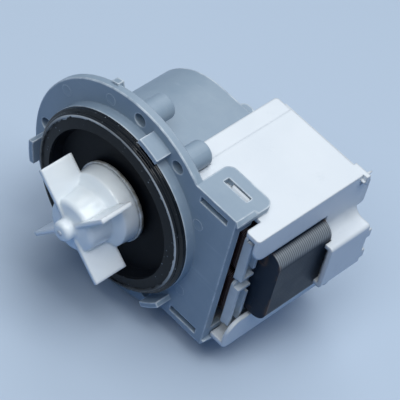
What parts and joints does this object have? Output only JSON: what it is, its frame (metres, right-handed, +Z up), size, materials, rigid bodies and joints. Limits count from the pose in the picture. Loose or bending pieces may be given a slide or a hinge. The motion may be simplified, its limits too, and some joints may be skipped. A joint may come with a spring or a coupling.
{
  "type": "washer drain pump",
  "caption": "Washing machine drain pump: round screw flange with sealing ring and bladed impeller in front, magnet rotor and U-core coil motor under a moulded cover behind.",
  "frame": {"origin": "pump axis at the flange's front face", "axes": "+Y along the pump axis to the rear, +X towards the coils and the yoke, +Z up; the impeller faces -Y"},
  "size_m": [0.104, 0.0823, 0.084],
  "materials": {
    "housing_grey": "satin moulded polypropylene",
    "cover_white": "satin moulded polyester",
    "impeller_white": "smooth natural polypropylene",
    "seal_rubber": "dull moulded rubber",
    "plate_black": "satin black polyester",
    "bush_bronze": "sintered, oil soaked",
    "lamination_steel": "stacked sheet edges",
    "bobbin_white": "thin moulded nylon",
    "enamelled_copper": "varnished wire bundle",
    "tinned_blade": "tin plated",
    "protector_case": "moulded case",
    "shaft_steel": "ground",
    "ferrite": "ground ferrite",
    "spool_plastic": "moulded"
  },
  "bodies": {
    "pump_body": {"front_housing": "housing_grey", "chamber_gasket": "seal_rubber", "bearing_plate": "plate_black", "shaft_seal": "seal_rubber", "front_bearing": "bush_bronze", "rear_bearing": "bush_bronze", "rear_bearing_cushion": "seal_rubber", "upper_pole_stack": "lamination_steel", "lower_pole_stack": "lamination_steel", "yoke_stack": "lamination_steel", "upper_bobbin": "bobbin_white", "lower_bobbin": "bobbin_white", "upper_winding": "enamelled_copper", "lower_winding": "enamelled_copper", "upper_terminal": "tinned_blade", "lower_terminal": "tinned_blade", "thermal_protector": "protector_case", "coil_cover": "cover_white"},
    "rotor": {"rotor_shaft": "shaft_steel", "rotor_magnet": "ferrite", "rotor_sleeve": "spool_plastic", "front_thrust_washer": "spool_plastic", "rear_thrust_washer": "spool_plastic", "drive_cam": "spool_plastic"},
    "impeller": {"impeller": "impeller_white", "impeller_back_ring": "impeller_white"}
  },
  "joints": [
    {"name": "rotor_spin", "type": "hinge", "parent": "pump_body", "child": "rotor", "pos_m": [0, 0, 0], "axis": [0, 1, 0], "continuous": true},
    {"name": "impeller_play", "type": "hinge", "parent": "rotor", "child": "impeller", "pos_m": [0, 0, 0], "axis": [0, 1, 0], "range_deg": [-89, 89]}
  ]
}
